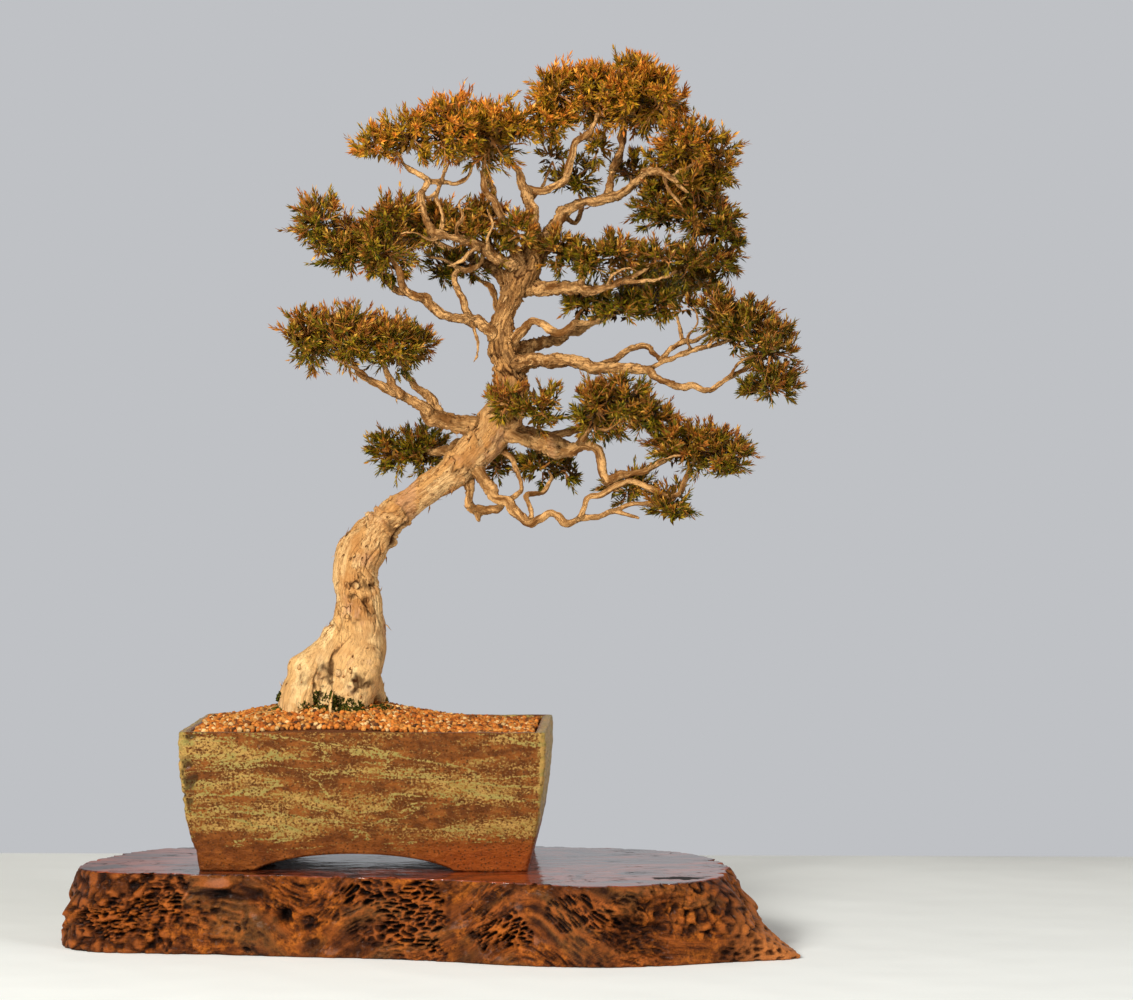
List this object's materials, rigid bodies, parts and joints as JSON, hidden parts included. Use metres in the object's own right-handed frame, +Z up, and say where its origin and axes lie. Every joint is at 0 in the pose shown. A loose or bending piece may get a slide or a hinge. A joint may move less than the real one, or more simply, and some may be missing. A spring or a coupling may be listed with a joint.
{
  "type": "potted bonsai tree on a burl wood slab",
  "caption": "Slanting paperbark bonsai with layered branches and spiky pads of leaf, in a glazed oblong stoneware pot with an arched foot, standing on a flat burl wood slab.",
  "frame": {"origin": "the point on the slab's flat underside that lies straight below the middle of the pot", "axes": "+Z up, +X to the right and +Y to the back as seen from the tree's front"},
  "size_m": [0.6893, 0.3652, 0.8379],
  "materials": {
    "burl_wood": "clear gloss lacquer over sawn red-brown burl",
    "glazed_stoneware": "fired stoneware with a glossy banded brown and ochre ash glaze",
    "screen_plastic": "black moulded mesh",
    "soil": "damp granular potting mix",
    "gravel": "dry fired-clay and stone grit, tan to orange-brown",
    "bark": "dry papery bark, cream to tan with brown fissures",
    "sunlit_leaf": "stiff pointed leaves, olive green turning bronze at the tips",
    "shaded_leaf": "stiff pointed leaves, dark olive green"
  },
  "bodies": {
    "root": {"display_slab": "burl_wood", "pot": "glazed_stoneware", "drain_screen_left": "screen_plastic", "drain_screen_right": "screen_plastic", "soil": "soil", "gravel_top": "gravel", "tree_wood": "bark", "foliage_crown_top": "sunlit_leaf", "foliage_upper_left": "sunlit_leaf", "foliage_middle_left": "sunlit_leaf", "foliage_centre_left": "sunlit_leaf", "foliage_centre_front": "sunlit_leaf", "foliage_under_left": "shaded_leaf", "foliage_low_left": "sunlit_leaf", "foliage_low_back_left": "shaded_leaf", "foliage_small_back_left": "shaded_leaf", "foliage_small_back_centre": "shaded_leaf", "foliage_small_under_top": "shaded_leaf", "foliage_small_back_right": "shaded_leaf", "foliage_right_high": "sunlit_leaf", "foliage_right_middle": "sunlit_leaf", "foliage_band_left": "sunlit_leaf", "foliage_band_right": "sunlit_leaf", "foliage_band_low": "shaded_leaf", "foliage_far_right": "sunlit_leaf", "foliage_trunk_front": "sunlit_leaf", "foliage_low_right_upper": "sunlit_leaf", "foliage_low_right": "sunlit_leaf", "foliage_lowest_right": "shaded_leaf", "foliage_lowest_right_tip": "sunlit_leaf", "foliage_under_right": "shaded_leaf", "foliage_under_junction": "shaded_leaf", "foliage_back_top": "sunlit_leaf", "foliage_back_left": "sunlit_leaf", "foliage_back_right": "shaded_leaf", "foliage_back_high_left": "sunlit_leaf", "foliage_back_high_right": "sunlit_leaf", "foliage_back_low": "shaded_leaf"}
  },
  "joints": []
}
